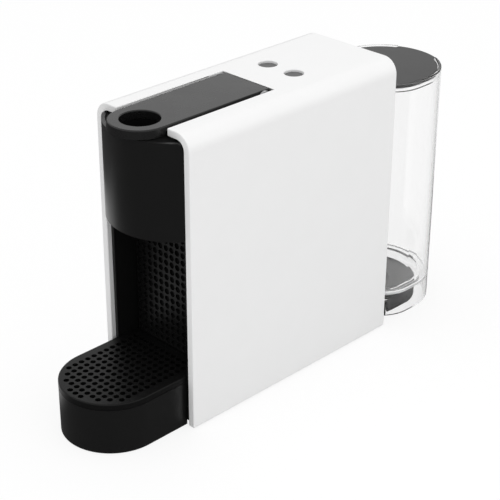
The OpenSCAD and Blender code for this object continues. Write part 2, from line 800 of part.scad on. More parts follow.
module flow_rotor() {
  color("#2060a0") difference() {
    union() {
      zcyl(3.5, meter_x, meter_y, meter_z0 + 2.4, meter_z1 - 3.2);
      for (a = [0:60:300]) translate([meter_x, meter_y, 0]) rotate(a)
        box3(2, meter_r - 3, -0.6, 0.6, meter_z0 + 2.6, meter_z1 - 3.6);
    }
    zcyl(1.5 + run_fit, meter_x, meter_y, meter_z0, meter_z1);
  }
}

module suction_hose() {
  z = port_z;
  color("#dcdcdc") route([[0, socket_y - socket_r - 0.3, z], [0, rear_wall_y - 5, z],
    [meter_x, rear_wall_y - 5, z], [meter_x, meter_y + meter_r + 5, z]], hose_r);
}

module pump_hose() {
  color("#dcdcdc") route([[meter_x, meter_y - meter_r - 5, port_z], [meter_x, pump_y1 - 10, port_z],
    [meter_x, pump_y1 - 10, hose_top_z], [pump_x, pump_rear_y + 4, hose_top_z],
    [pump_x, pump_rear_y + 4, pump_z], [pump_x, pump_rear_y, pump_z]], hose_r);
}

module pressure_hose() {
  color("#dcdcdc") route([[pump_x, pump_front_y, pump_z], [pump_x, rise_y, pump_z], [pump_x, rise_y, feed_z],
    [pump_x, block_y0 + 4, feed_z]], hose_r);
}

module brew_hose() {
  color("#dcdcdc") route([[0, block_y0 + 8, hose_z], [0, feed_y, hose_z], [0, feed_y, rail_z]], hose_r);
}

// Control board on the left side frame, held off it by four posts
module control_board() {
  x0 = -bay_half + 3;
  color("#1f5a34") difference() {
    union() {
      box3(x0, x0 + 1.6, board_y0, board_y1, board_z0, board_top_z);
      for (p = board_spots) xcyl(3, -bay_half, x0 + small, p[0], p[1]);
    }
    for (p = board_spots) xcyl(1.3, -bay_half - 1, x0 + 3, p[0], p[1]);
  }
}

board_y0 = bin_y1 + 10;
board_y1 = pump_y1 - 16;
board_top_z = shelf_z - 7;
board_z0 = board_top_z - 48;
board_spots = [for (y = [board_y0 + 4, board_y1 - 4], z = [board_z0 + 4, board_top_z - 4]) [y, z]];

module board_parts() {
  x0 = -bay_half + 4.6;
  color("#30343c") {
    box3(x0, x0 + 14, board_y0 + 4, board_y0 + 16, board_z0 + 8, board_z0 + 24);
    box3(x0, x0 + 10, board_y0 + 4, board_y0 + 15, board_z0 + 28, board_z0 + 40);
    for (i = [1:3]) xcyl(4, x0, x0 + 12, board_y1 - 6, board_z0 + 11 * i);
  }
}

// Board under the cover's top with a carrier between the side frames
module button_board() {
  color("#1f5a34") difference() {
    union() {
      box3(-bay_half, bay_half, button_y - 8, button_y + 8, board_z1 - carrier_drop, board_z1 - board_t);
      box3(-24, 24, button_y - 8, button_y + 8, board_z1 - board_t - small, board_z1);
    }
    both_sides() zcyl(1.3, 20, button_y, board_z1 - 6, board_z1 + 1, $fn = 24);
  }
}

module button_switches() {
  color("#303030") both_sides() {
    box3(button_x - 3, button_x + 3, button_y - 3, button_y + 3, board_z1, switch_z1 - 1.2);
    zcyl(1.6, button_x, button_y, switch_z1 - 1.2 - small, switch_z1);
  }
}

// Button: a cap in the cover's hole, a flange that keeps it in, and a stem over the switch
module button(x) {
  stem_z = switch_z1 + button_travel + 0.2;
  zcyl(button_r, x, button_y, cover_in_z - 3, button_top_z);
  zcyl(flange_r, x, button_y, cover_in_z - 3, cover_in_z - slide_gap);
  zcyl(2, x, button_y, stem_z, cover_in_z - 3 + small);
}

module short_button() {
  color("#757575") button(-button_x);
}

module long_button() {
  color("#757575") button(button_x);
}

// Wires from the cord gland to the control board and on to the button board
module wire_loom() {
  low_z = board_z1 - carrier_drop - 10;
  color("#303030") route([[-dock_half + gland_in, gland_y, gland_z], [wire_x, gland_y, gland_z],
    [wire_x, rear_wall_y - 5, gland_z], [loom_x, rear_wall_y - 5, gland_z + 40],
    [loom_x, loom_y, gland_z + 60], [loom_x, loom_y, low_z], [loom_x, button_y, low_z],
    [loom_x, button_y, board_z1 - carrier_drop]], wire_r);
}

module dock_seal() {
  color("#101010") difference() {
    zcyl(valve_r + 4, 0, socket_y, socket_z, socket_z + seal_t);
    zcyl(valve_r + 0.6, 0, socket_y, socket_z - 1, socket_z + seal_t + 1);
  }
}

// Rubber gland in the dock's left side, with the bore that a mains lead goes through
module cord_gland() {
  color("#101010") difference() {
    xcyl(gland_out_r - 0.1, -dock_half - 1.5, -dock_half + gland_in, gland_y, gland_z);
    xcyl(gland_r, -dock_half - 2.5, -dock_half + gland_in + 1, gland_y, gland_z);
  }
}

foot_spots = [[-26, front_y + 13], [26, front_y + 13], [-18, dock_arc_y + 8], [18, dock_arc_y + 8]];

module feet() {
  color("#151515") for (p = foot_spots) zcyl(foot_r, p[0], p[1], 0, foot_h);
}

module base_screws() {
  color("silver") for (p = screw_spots) {
    zcyl(1.2, p[0], p[1], foot_h, floor_z + 5);
    zcyl(2.6, p[0], p[1], foot_h - 1.2, foot_h);
  }
}

// Screws that hold the button board's carrier
module board_screws() {
  color("silver") both_sides() {
    zcyl(1.2, 20, button_y, board_z1 - 5, board_z1 + small);
    zcyl(2.4, 20, button_y, board_z1, board_z1 + 1.6);
  }
}

// Screws that hold the control board to its posts
module frame_screws() {
  x0 = -bay_half + 4.6;
  color("silver") for (p = board_spots) {
    xcyl(1.2, x0 - 4, x0 + small, p[0], p[1]);
    xcyl(2.4, x0, x0 + 1.6, p[0], p[1]);
  }
}

// Drip tray: a round-nosed tub in front, with a shelf under the bin behind it
module drip_tray() {
  low_z = 0.8;
  step_y = front_y + 1.5;
  in_half = tray_half - tray_wall;
  color("#181818") difference() {
    union() {
      arch_block(tray_half, tray_arc_y, step_y, low_z, grid_z0);
      box3(-tray_half, tray_half, step_y - small, recess_y - slide_gap, drawer_floor_z, grid_z0);
      box3(-tray_half, tray_half, recess_y - slide_gap - small, bin_y1, drawer_floor_z, drawer_floor_z + 2.4);
    }
    arch_block(in_half, tray_arc_y, step_y - tray_wall, low_z + 2.4, grid_z0 + 1);
    box3(-in_half, in_half, step_y - tray_wall - small, recess_y - slide_gap - tray_wall,
      drawer_floor_z + 2.4, grid_z0 + 1);
  }
}

// Used-capsule bin, open at the top, whose front is the back wall of the cup recess
module capsule_bin() {
  z0 = drawer_floor_z + 2.4;
  color("#161616") difference() {
    box3(-bin_half, bin_half, recess_y, bin_y1, z0, bin_z1);
    box3(-bin_half + bin_wall, bin_half - bin_wall, recess_y + bin_wall, bin_y1 - bin_wall,
      z0 + bin_wall, bin_z1 + 1);
  }
}

grid_cols = floor((tray_half - 6) / hole_pitch);
grid_rows = floor((recess_y - nose_y - 8) / hole_pitch);
grid_spots = [for (i = [-grid_cols:grid_cols], j = [0:grid_rows])
  let (x = i * hole_pitch, y = nose_y + 4.6 + j * hole_pitch)
  if (y > tray_arc_y || norm([x, y - tray_arc_y]) < tray_half - 3.4) [x, y]];

// Drip grid: a cap over the tray with rows of round holes
module drip_grid() {
  back_y = recess_y - slide_gap - 0.3;
  color("#1c1c1c") difference() {
    arch_block(tray_half, tray_arc_y, back_y, grid_z0 + slide_gap, tray_h);
    arch_block(tray_half - 1.6, tray_arc_y, back_y - 1.6, grid_z0 - 1, tray_h - grid_t);
    for (p = grid_spots) zcyl(hole_d / 2, p[0], p[1], tray_h - grid_t - 1, tray_h + 1, $fn = 24);
  }
}

// Clear tank with a skirt round the dock, a floor with the valve's collar, and a ledge for the lid
module water_tank() {
  floor_top = tank_floor_z + tank_floor_t;
  color([0.92, 0.95, 0.97, 0.4]) difference() {
    tank_block(0, tank_lift, tank_top);
    tank_block(tank_wall, floor_top, ledge_z1 - ledge_t);
    tank_block(tank_wall + ledge_w, floor_top + small, tank_top + 1);
    tank_block(tank_wall, ledge_z1, tank_top + 1);
    // Hollow of the skirt, open towards the cover for the dock
    tank_block(tank_wall, tank_lift - 1, tank_floor_z);
    box3(-dock_half - 1, dock_half + 1, tank_y0 - 1, tank_y0 + tank_corner_r + 1,
      tank_lift - 1, tank_floor_z);
    zcyl(valve_r + 1.4, 0, socket_y, tank_floor_z - 1, floor_top + 1);
    // Notch in the skirt over the cord gland
    box3(-tank_half - 1, -dock_half, tank_y0 - 1, gland_y + gland_out_r + 3, -1, dock_top - 0.6);
  }
}

// Valve seat pressed in the tank's floor, whose nose stands in the dock's socket
module valve_seat() {
  nose_z = socket_z + seal_t + slide_gap;
  floor_top = tank_floor_z + tank_floor_t;
  color("#e0e0e0") difference() {
    union() {
      zcyl(valve_r + 1.3, 0, socket_y, nose_z, floor_top + 2);
      zcyl(valve_r + 3.4, 0, socket_y, floor_top, floor_top + 2);
    }
    zcyl(valve_r, 0, socket_y, nose_z + 2, floor_top + 3);
    zcyl(2.4, 0, socket_y, nose_z - 1, nose_z + 3);
  }
}

// Valve plunger: a disc on its seat with a guide stem
module valve_plunger() {
  seat_z = socket_z + seal_t + slide_gap + 2;
  color("#c03028") {
    zcyl(valve_r - 0.6, 0, socket_y, seat_z, seat_z + 1.6);
    zcyl(1.5, 0, socket_y, seat_z - 1.6, seat_z + 1.6 + spring_len + 1);
  }
}

// Spring over the plunger, drawn as a sleeve of its outer size
module valve_spring() {
  seat_z = socket_z + seal_t + slide_gap + 3.6;
  color("silver") difference() {
    zcyl(2.9, 0, socket_y, seat_z, seat_z + spring_len);
    zcyl(2, 0, socket_y, seat_z - 1, seat_z + spring_len + 1);
  }
}

// Smoked lid that lies on the tank's ledge
module tank_lid() {
  gap = 0.4;
  edge = tank_wall + gap;
  rim = edge + ledge_w + gap;
  drop = 5;
  color("#4a4a4a") {
    tank_block(edge, lid_z0, lid_z1);
    difference() {
      tank_block(rim, lid_z0 - drop, lid_z0 + small);
      tank_block(rim + 2, lid_z0 - drop - 1, lid_z0 - small);
    }
  }
}

outer_cover();
side_frame_left();
side_frame_right();
base_chassis();
dock_cover();
rear_wall();
bulkhead();
mid_shelf();
head_cover();
head_floor();
head_deck();
brew_frame();
extraction_plate();
coffee_spout();
capsule_guide();
hinge_pin();
thermoblock();
heater_tube();
thermostats();
pump_body();
pump_coil();
pump_mounts();
flow_meter_body();
flow_meter_lid();
suction_hose();
pump_hose();
pressure_hose();
brew_hose();
control_board();
board_parts();
button_board();
button_switches();
wire_loom();
dock_seal();
cord_gland();
feet();
base_screws();
frame_screws();
board_screws();
lever();
cam_plates();
brew_cage();
injector_plate();
cage_seal();
short_button();
long_button();
drip_tray();
capsule_bin();
drip_grid();
water_tank();
valve_seat();
tank_lid();
valve_plunger();
valve_spring();
pump_plunger();
flow_rotor();
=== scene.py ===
# Slim pod coffee machine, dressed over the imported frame
import json
import math

import bmesh
import bpy
from mathutils import Matrix, Vector


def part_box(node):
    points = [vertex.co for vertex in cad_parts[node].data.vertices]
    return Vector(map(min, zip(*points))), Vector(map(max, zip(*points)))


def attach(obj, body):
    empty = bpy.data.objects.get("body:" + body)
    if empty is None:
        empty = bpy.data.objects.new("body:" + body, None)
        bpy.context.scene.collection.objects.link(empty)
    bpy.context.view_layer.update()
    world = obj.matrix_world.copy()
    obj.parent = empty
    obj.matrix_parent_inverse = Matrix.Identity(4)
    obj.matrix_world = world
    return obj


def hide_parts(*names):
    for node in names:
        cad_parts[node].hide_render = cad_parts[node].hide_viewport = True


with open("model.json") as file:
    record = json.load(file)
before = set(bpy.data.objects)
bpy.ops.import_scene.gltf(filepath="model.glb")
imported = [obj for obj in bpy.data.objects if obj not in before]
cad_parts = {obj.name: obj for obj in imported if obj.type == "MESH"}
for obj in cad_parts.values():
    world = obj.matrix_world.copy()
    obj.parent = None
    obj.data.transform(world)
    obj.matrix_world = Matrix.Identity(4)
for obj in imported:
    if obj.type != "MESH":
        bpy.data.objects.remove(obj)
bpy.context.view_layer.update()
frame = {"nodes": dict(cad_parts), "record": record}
scene = bpy.context.scene
mm = 0.001
past = 1.0      # mm that a cutting shape reaches past what it cuts
near = 0.01     # mm within which a corner counts as lying on a plane
aligned = 0.9   # part of an edge's direction that counts as along an axis
sides = (-1, 1)
print("frame loaded:", len(frame["nodes"]), "nodes")


def corners(node):  # lowest and highest corner of a CAD node, in mm
    low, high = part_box(node)
    return low / mm, high / mm


def hexLinear(code):
    parts = [int(code[i:i + 2], 16) / 255 for i in (1, 3, 5)]
    return tuple(p / 12.92 if p <= 0.04045 else ((p + 0.055) / 1.055) ** 2.4 for p in parts) + (1.0,)


def addNode(tree, kind, settings=None, links=None):
    node = tree.nodes.new(kind)
    for name, value in (settings or {}).items():
        if isinstance(name, str) and hasattr(node, name):
            setattr(node, name, value)
        else:
            node.inputs[name].default_value = value
    for name, source in (links or {}).items():
        tree.links.new(source, node.inputs[name])
    return node


# Shapes, all worked in millimetres

def boxMesh(x0, x1, y0, y1, z0, z1):
    bm = bmesh.new()
    bmesh.ops.create_cube(bm, size=1.0)
    bmesh.ops.scale(bm, vec=(x1 - x0, y1 - y0, z1 - z0), verts=bm.verts)
    bmesh.ops.translate(bm, vec=((x0 + x1) / 2, (y0 + y1) / 2, (z0 + z1) / 2), verts=bm.verts)
    return bm


def bevelWhere(bm, test, offset, segments=3, cornerAngle=0.3):
    # rounds the real corners that test picks by their middle and direction
    chosen = [e for e in bm.edges if e.calc_face_angle(0) > cornerAngle
              and test((e.verts[0].co + e.verts[1].co) / 2, (e.verts[1].co - e.verts[0].co).normalized())]
    bmesh.ops.bevel(bm, geom=chosen, offset=offset, offset_type="OFFSET", affect="EDGES",
                    segments=segments, profile=0.5, material=-1)


def archMesh(half, arcY, flatY, z0, z1, steps=28):
    # a block whose two corners at one end are rounded until they all but meet, and are then joined
    slack = 0.0005
    nose = arcY - half if flatY > arcY else arcY + half
    bm = boxMesh(-half, half, min(nose, flatY), max(nose, flatY), z0, z1)
    bevelWhere(bm, lambda p, d: abs(p.y - nose) < near and abs(d.z) > aligned, half - slack, steps)
    bmesh.ops.remove_doubles(bm, verts=bm.verts, dist=near)
    return bm


def rodMesh(radius, start, end, steps=48):
    # a plain round rod between two points
    start, end = Vector(start), Vector(end)
    bm = bmesh.new()
    bmesh.ops.create_cone(bm, cap_ends=True, segments=steps, radius1=radius, radius2=radius,
                          depth=(end - start).length)
    turn = Vector((0, 0, 1)).rotation_difference((end - start).normalized()).to_matrix()
    bmesh.ops.rotate(bm, cent=(0, 0, 0), matrix=turn, verts=bm.verts)
    bmesh.ops.translate(bm, vec=(start + end) / 2, verts=bm.verts)
    return bm


def spunMesh(profile, x, y, steps=48):
    # a turned shape from (radius, height) pairs, closed on its axis
    bm = bmesh.new()
    points = [bm.verts.new((r, 0, z)) for r, z in profile]
    edges = [bm.edges.new(pair) for pair in zip(points, points[1:])]
    bmesh.ops.spin(bm, geom=points + edges, cent=(0, 0, 0), axis=(0, 0, 1), dvec=(0, 0, 0),
                   angle=2 * math.pi, steps=steps, use_merge=True)
    bmesh.ops.remove_doubles(bm, verts=bm.verts, dist=0.001)
    bmesh.ops.recalc_face_normals(bm, faces=bm.faces)
    bmesh.ops.translate(bm, vec=(x, y, 0), verts=bm.verts)
    return bm


def easePiece(piece, test, offset, segments=3):
    bm = bmesh.new()
    bm.from_mesh(piece.data)
    bevelWhere(bm, test, offset, segments)
    bm.to_mesh(piece.data)
    bm.free()


def asObject(bm, name="part"):
    mesh = bpy.data.meshes.new(name)
    bm.to_mesh(mesh)
    bm.free()
    piece = bpy.data.objects.new(name, mesh)
    scene.collection.objects.link(piece)
    return piece


def settle(piece):
    # the modifiers become part of the mesh
    graph = bpy.context.evaluated_depsgraph_get()
    mesh = bpy.data.meshes.new_from_object(piece.evaluated_get(graph))
    old = piece.data
    piece.modifiers.clear()
    piece.data = mesh
    bpy.data.meshes.remove(old)


def carve(piece, *tools, how="DIFFERENCE"):
    # cuts, joins or trims a piece with other shapes, which are used up
    tools = [t if isinstance(t, bpy.types.Object) else asObject(t, "tool") for t in tools]
    for tool in tools:
        step = piece.modifiers.new("carve", "BOOLEAN")
        step.object = tool
        step.operation = how
        step.solver = "EXACT"
    settle(piece)
    for tool in tools:
        mesh = tool.data
        bpy.data.objects.remove(tool)
        bpy.data.meshes.remove(mesh)
    return piece


def finishPiece(piece, name, body, slotName, replaces=(), edge=0.4, segments=2, angle=30, sharp=50,
                finish=None):
    # to metres, edges eased, smooth shading, and its place in the frame; finish is only for a look
    # that differs from the slot's own
    piece.name = name
    piece.data.name = name
    piece.data.transform(Matrix.Scale(mm, 4))
    if edge:
        ease = piece.modifiers.new("eased edges", "BEVEL")
        ease.width = edge * mm
        ease.segments = segments
        ease.limit_method = "ANGLE"
        ease.angle_limit = math.radians(angle)
        ease.use_clamp_overlap = True
        ease.miter_outer = "MITER_ARC"
    settle(piece)
    piece.data.polygons.foreach_set("use_smooth", [True] * len(piece.data.polygons))
    piece.data.set_sharp_from_angle(angle=math.radians(sharp))
    even = piece.modifiers.new("even shading", "WEIGHTED_NORMAL")
    even.keep_sharp = True
    even.weight = 80
    settle(piece)
    piece.data.materials.clear()
    piece.data.materials.append(finishes[finish or slotName])
    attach(piece, body)
    if replaces:
        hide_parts(*replaces)
    return piece


def nodeCopy(node, joinWithin=0.002, flatWithin=1):
    # the CAD node's own solid as a piece, its loose triangles joined and its flat faces whole
    bm = bmesh.new()
    bm.from_mesh(frame["nodes"][node].data)
    bmesh.ops.scale(bm, vec=(1 / mm,) * 3, verts=bm.verts)
    bmesh.ops.remove_doubles(bm, verts=bm.verts, dist=joinWithin)
    bmesh.ops.dissolve_limit(bm, angle_limit=math.radians(flatWithin), verts=bm.verts, edges=bm.edges)
    return asObject(bm)


# Finishes

surface = {
    "glossSwing": 0.04,      # moulded gloss either side of its middle
    "grainStrength": 0.35,
    "brushedGloss": (-0.06, 0.08),
    "brushStrength": 0.3,
}


def objectCoords(tree):
    return addNode(tree, "ShaderNodeTexCoord").outputs["Object"]


def moulded(name, colour, rough, grainMm, cloudMm=18.0, depthMm=0.02, tint=0.04, sockets=None):
    # Injection moulded plastic: an even colour with a slightly cloudy gloss over a spark-eroded grain.
    # True grain is near 0.1 mm, too fine to see from here, so it is drawn about ten times coarser
    made = bpy.data.materials.new(name)
    made.use_nodes = True
    tree = made.node_tree
    shader = tree.nodes["Principled BSDF"]
    base = hexLinear(colour)
    place = objectCoords(tree)
    cloud = addNode(tree, "ShaderNodeTexNoise", {"Scale": 1 / (cloudMm * mm), "Detail": 2.0},
                    {"Vector": place})
    grain = addNode(tree, "ShaderNodeTexNoise", {"Scale": 1 / (grainMm * mm), "Detail": 3.0},
                    {"Vector": place})
    shade = addNode(tree, "ShaderNodeMix", {"data_type": "RGBA"}, {"Factor": cloud.outputs["Fac"]})
    shade.inputs["A"].default_value = tuple(c * (1 - tint) for c in base[:3]) + (1.0,)
    shade.inputs["B"].default_value = tuple(min(1.0, c * (1 + tint)) for c in base[:3]) + (1.0,)
    tree.links.new(shade.outputs["Result"], shader.inputs["Base Color"])
    swing = surface["glossSwing"]
    gloss = addNode(tree, "ShaderNodeMapRange", {"To Min": rough - swing, "To Max": rough + swing},
                    {"Value": cloud.outputs["Fac"]})
    tree.links.new(gloss.outputs["Result"], shader.inputs["Roughness"])
    bump = addNode(tree, "ShaderNodeBump", {"Strength": surface["grainStrength"], "Distance": depthMm * mm},
                   {"Height": grain.outputs["Fac"]})
    tree.links.new(bump.outputs["Normal"], shader.inputs["Normal"])
    for socket, value in (sockets or {}).items():
        shader.inputs[socket].default_value = value
    return made


def metal(name, colour, rough, brushMm, along, depthMm=0.01):
    # Bare metal: the brush or cutter leaves lines one way, which stretch the gloss. True lines are
    # too fine to see from here, so they are drawn coarser
    made = bpy.data.materials.new(name)
    made.use_nodes = True
    tree = made.node_tree
    shader = tree.nodes["Principled BSDF"]
    shader.inputs["Metallic"].default_value = 1.0
    shader.inputs["Base Color"].default_value = hexLinear(colour)
    turn = addNode(tree, "ShaderNodeMapping", {"Scale": along}, {"Vector": objectCoords(tree)})
    lines = addNode(tree, "ShaderNodeTexNoise", {"Scale": 1 / (brushMm * mm), "Detail": 3.0},
                    {"Vector": turn.outputs["Vector"]})
    lowest, highest = surface["brushedGloss"]
    gloss = addNode(tree, "ShaderNodeMapRange", {"To Min": rough + lowest, "To Max": rough + highest},
                    {"Value": lines.outputs["Fac"]})
    tree.links.new(gloss.outputs["Result"], shader.inputs["Roughness"])
    bump = addNode(tree, "ShaderNodeBump", {"Strength": surface["brushStrength"], "Distance": depthMm * mm},
                   {"Height": lines.outputs["Fac"]})
    tree.links.new(bump.outputs["Normal"], shader.inputs["Normal"])
    return made


finishes = {
    # Glossy ABS, polished mould: bright and clean, with a soft sheen
    "white_shell": moulded("Moulded white ABS", "#F1F1F1", 0.36, 1.6, depthMm=0.01, tint=0.01),
    # Black ABS: satin, mirrors pale surroundings at a low angle
    "black_shell": moulded("Moulded black ABS", "#121212", 0.30, 1.5, depthMm=0.02),
    # Black ABS with a matte grain, in the drawer; its darker colour and the mirror taken away are partly
    # painted shade, for the recess under the head
    "matte_black_painted_shade": moulded("Matte black ABS", "#0B0B0B", 0.42, 1.2, 9.0, 0.03, 0.05,
                           {"Specular IOR Level": 0.28}),
    # Black polypropylene frame: duller than the shell
    "black_frame": moulded("Moulded black polypropylene", "#101010", 0.48, 1.2, depthMm=0.04),
    # Glass filled nylon deck with a coarse grain; its nearly black colour and the gloss taken away are
    # painted shade, for the deck lying in shadow under the lever and the cover's edge
    "deck_black_painted_shade": moulded("Matte black nylon deck", "#0C0C0C", 0.80, 0.8, 9.0, 0.06, 0.08,
                          {"Specular IOR Level": 0.12}),
    # Black ABS, a little glossier than the shell
    "lever_black": moulded("Satin black ABS lever", "#151515", 0.27, 1.6, depthMm=0.02),
    # Soft grey moulded rubber: dull and even, with no mirror
    "button_grey": moulded("Soft grey TPE button", "#646464", 0.55, 1.0, depthMm=0.02),
    # Clear SAN: hardly any colour, sharp edges catch the light. Long 22 mm waves stand in for a grain
    "clear_tank": moulded("Clear moulded SAN", "#FFFFFF", 0.05, 22.0, 40.0, 0.03, 0.0,
                          {"Transmission Weight": 1.0, "IOR": 1.45}),
    # Same SAN, milky where the weld has frosted it
    "frosted_seam": moulded("Frosted weld in SAN", "#F4F4F4", 0.45, 1.0, 8.0, 0.04, 0.02,
                            {"Transmission Weight": 0.35}),
    # Smoked SAN: dark, a little light passes, its fine grain dulls the mirror
    "smoked_lid": moulded("Smoked moulded SAN", "#1C1C1C", 0.30, 1.4, 40.0, 0.02, 0.03,
                          {"Transmission Weight": 0.05, "Specular IOR Level": 0.33}),
    # White acetal: even, slightly waxy gloss
    "inner_white": moulded("Moulded white acetal", "#DEDCD4", 0.45, 1.2),
    # Glass filled nylon: dark grey, mottled and dull
    "inner_dark": moulded("Glass filled black nylon", "#2B2B2D", 0.55, 0.8, 6.0, 0.05, 0.12),
    # Coloured acetal: plain, with a soft gloss
    "valve_red": moulded("Moulded red acetal", "#B5382C", 0.40, 1.0),
    "rotor_blue": moulded("Moulded blue acetal", "#2B62A3", 0.40, 1.0),
    # Moulded rubber: black, with hardly any gloss
    "rubber": moulded("Black moulded rubber", "#0E0E0E", 0.75, 0.9, 8.0, 0.06, 0.1),
    # Extruded silicone: milky, lets some light through
    "hose": moulded("Milky silicone hose", "#DDDDD8", 0.35, 1.2, 10.0, 0.02, 0.03,
                    {"Transmission Weight": 0.3, "Subsurface Weight": 0.2}),
    # Stainless steel, brushed after blanking: long streaks of gloss
    "steel": metal("Brushed stainless steel", "#C4C5C6", 0.28, 1.0, (1, 12, 12)),
    # Aluminium as it leaves the die: dull, with no direction
    "cast_alloy": metal("Die cast aluminium", "#A9ABAD", 0.50, 2.0, (1, 1, 1), 0.05),
    # Laminate under green solder mask: patchy green, half gloss
    "circuit": moulded("Green masked circuit board", "#1D5232", 0.40, 0.6, 3.0, 0.02, 0.25),
}
for row in frame["record"]["materials"]:
    slotName = row["slot"]
    for nodeName, node in frame["nodes"].items():
        for index, held in enumerate(node.data.materials):
            if held and held.name.split(".")[0] == slotName:
                node.data.materials[index] = finishes[slotName]
print("finishes ready:", len(finishes))

# Outer cover
cover = {
    "wall": 5.0,          # thickness of the top and sides
    "edgeRadius": 11.0,   # round along the two top edges
    "edgeSegments": 14,
    "slotGap": 0.8,       # beside the lever's flanges
    "hinge": (-16.0, 198.4),
    "endRadius": 8.2,     # hollow at the slot's end, about the hinge
    "earHalf": (22.0, 26.4),
    "earRadius": 4.0,
    "buttonGap": 0.3,
    "earTop": 3.7,        # above the hinge
    "cutDepth": 6.0,      # how far down the slot and the ears are cut
    "easing": 0.7,        # small round on every cut edge
    "easingSegments": 4,
}
coverLow, coverHigh = corners("outer_cover")
leverLow, leverHigh = corners("lever")
hingeY, hingeZ = cover["hinge"]
slotHalf = leverHigh.x + cover["slotGap"]
cutZ = coverHigh.z - cover["cutDepth"]


def coverBlock(inset, low, y0, y1):
    bm = boxMesh(-coverHigh.x + inset, coverHigh.x - inset, y0, y1, low, coverHigh.z - inset)
    bevelWhere(bm, lambda p, d: abs(d.y) > aligned and p.z > (low + coverHigh.z) / 2,
               cover["edgeRadius"] - inset, cover["edgeSegments"])
    return bm


def crossRod(radius, half, steps):
    # a rod across the machine, on the lever's hinge
    return rodMesh(radius, (-half, hingeY, hingeZ), (half, hingeY, hingeZ), steps)


# The buttons' values stand here, because the cover's round holes follow them
button = {
    "dish": 0.35,         # hollow of the cap's top
    "dishShares": (0.3, 0.6, 0.8, 0.9),
    "edge": 0.5,          # round of the cap's rim
    "edgeSteps": 4,
    "flange": 1.4,        # wider foot under the cover
    "flangeHeight": 2.7,
    "flangeGap": 0.3,     # under the cover's wall
    "stemRadius": 2.0,
    "switchHalf": 3.0,    # a cap stands over the middle of its switch
    "boreLow": 190.0,     # the holes are cut between these heights
    "boreHigh": 206.0,
}
buttonLow, buttonHigh = corners("long_button")
buttonX = corners("button_switches")[1].x - button["switchHalf"]
buttonY = (buttonLow.y + buttonHigh.y) / 2
capRadius = (buttonHigh.x - buttonLow.x) / 2 - button["flange"]
shell = asObject(coverBlock(0, coverLow.z, coverLow.y, coverHigh.y))
ears = [boxMesh(*sorted(s * x for x in cover["earHalf"]), hingeY - cover["earRadius"],
                hingeY + cover["earRadius"], cutZ, hingeZ + cover["earTop"]) for s in sides]
buttonHoles = [rodMesh(capRadius + cover["buttonGap"], (s * buttonX, buttonY, button["boreLow"]),
                       (s * buttonX, buttonY, button["boreHigh"]), steps=64) for s in sides]
carve(shell, coverBlock(cover["wall"], coverLow.z - past, coverLow.y - past, coverHigh.y + past),
      boxMesh(-slotHalf, slotHalf, coverLow.y - past, hingeY, cutZ, coverHigh.z + past),
      crossRod(cover["endRadius"], slotHalf, 72), *ears, *buttonHoles)
coverTop, coverFront, coverRear = coverHigh.z, coverLow.y, coverHigh.y
easePiece(shell, lambda p, d: abs(p.y - coverFront) < near or abs(p.y - coverRear) < near
          or p.z < coverLow.z + near or p.z > coverTop - near, cover["easing"], cover["easingSegments"])
finishPiece(shell, "outerCover", "machine", "white_shell", ["outer_cover"], edge=0)
print("outer cover")

# Lever
lever = {
    "flare": 0.8,        # how far the sides lean out towards the bottom
    "skin": 2.6,
    "rim": 2.2,          # wall round the nose and round the finger hole
    "noseHalf": 19.8,
    "holeRadius": 12.6,
    "flangeHeight": 2.0,
    "flangeBack": 2.0,   # behind the cover's front edge
    "flangeGap": 0.5,    # between the flanges and the barrel
    "topEdge": 0.8,      # round of the top face and of the finger hole
    "barrelRadius": 5.6,
    "barrelHalf": 20.5,
    "pinRadius": 2.05,
    "pinReach": 30.0,
    "ribs": 3,
    "ribPitch": 20.0,
    "ribHalf": 0.9,
    "ribReach": 22.0,
    "edge": 0.45,
}
noseY = leverLow.y + lever["noseHalf"]
topZ, lowZ = leverHigh.z, hingeZ
endY = hingeY + lever["barrelRadius"]
leverBody = archMesh(lever["noseHalf"], noseY, endY, lowZ, topZ, 32)
lowRing = [v for v in leverBody.verts if v.co.z < lowZ + near]
grow = 1 + lever["flare"] / lever["noseHalf"]
bmesh.ops.scale(leverBody, vec=(grow, 1, 1), verts=lowRing)
bmesh.ops.scale(leverBody, vec=(1, grow, 1), verts=[v for v in lowRing if v.co.y < noseY],
                space=Matrix.Translation((0, -noseY, 0)))
leverPiece = asObject(leverBody)
hollow = asObject(archMesh(lever["noseHalf"] - lever["rim"], noseY, hingeY - lever["barrelRadius"],
                           lowZ - past, topZ - lever["skin"], 28))
ribYs = [noseY + lever["ribPitch"] * i for i in range(1, lever["ribs"] + 1)]
leverRibs = [boxMesh(-lever["ribReach"], lever["ribReach"], y - lever["ribHalf"], y + lever["ribHalf"],
                     lowZ - 2 * past, topZ) for y in ribYs]
holeWall = rodMesh(lever["holeRadius"] + lever["rim"], (0, noseY, lowZ - 3 * past), (0, noseY, topZ),
                   steps=64)
carve(hollow, holeWall, *leverRibs)
flanges = boxMesh(-leverHigh.x, leverHigh.x, coverFront + lever["flangeBack"],
                  hingeY - lever["barrelRadius"] - lever["flangeGap"], lowZ, lowZ + lever["flangeHeight"])
carve(leverPiece, flanges, crossRod(lever["barrelRadius"], lever["barrelHalf"], 64), how="UNION")
fingerHole = rodMesh(lever["holeRadius"], (0, noseY, lowZ - 2 * past), (0, noseY, topZ + past), steps=72)
carve(leverPiece, hollow, fingerHole, crossRod(lever["pinRadius"], lever["pinReach"], 32))
easePiece(leverPiece, lambda p, d: p.z > topZ - near, lever["topEdge"], 5)
finishPiece(leverPiece, "leverShell", "lever", "lever_black", ["lever"], lever["edge"], 3)
print("lever")

# Head: curved front, deck with the finger well, floor
head = {
    "wall": 2.4,
    "frontRadius": 44.8,
    "frontSteps": 180,
    "edge": 0.4,
    "innerEdge": 0.3,    # of the deck and the floor
    "roomGap": 0.15,     # under the cover's inner round edges
}
headLow, headHigh = corners("head_cover")


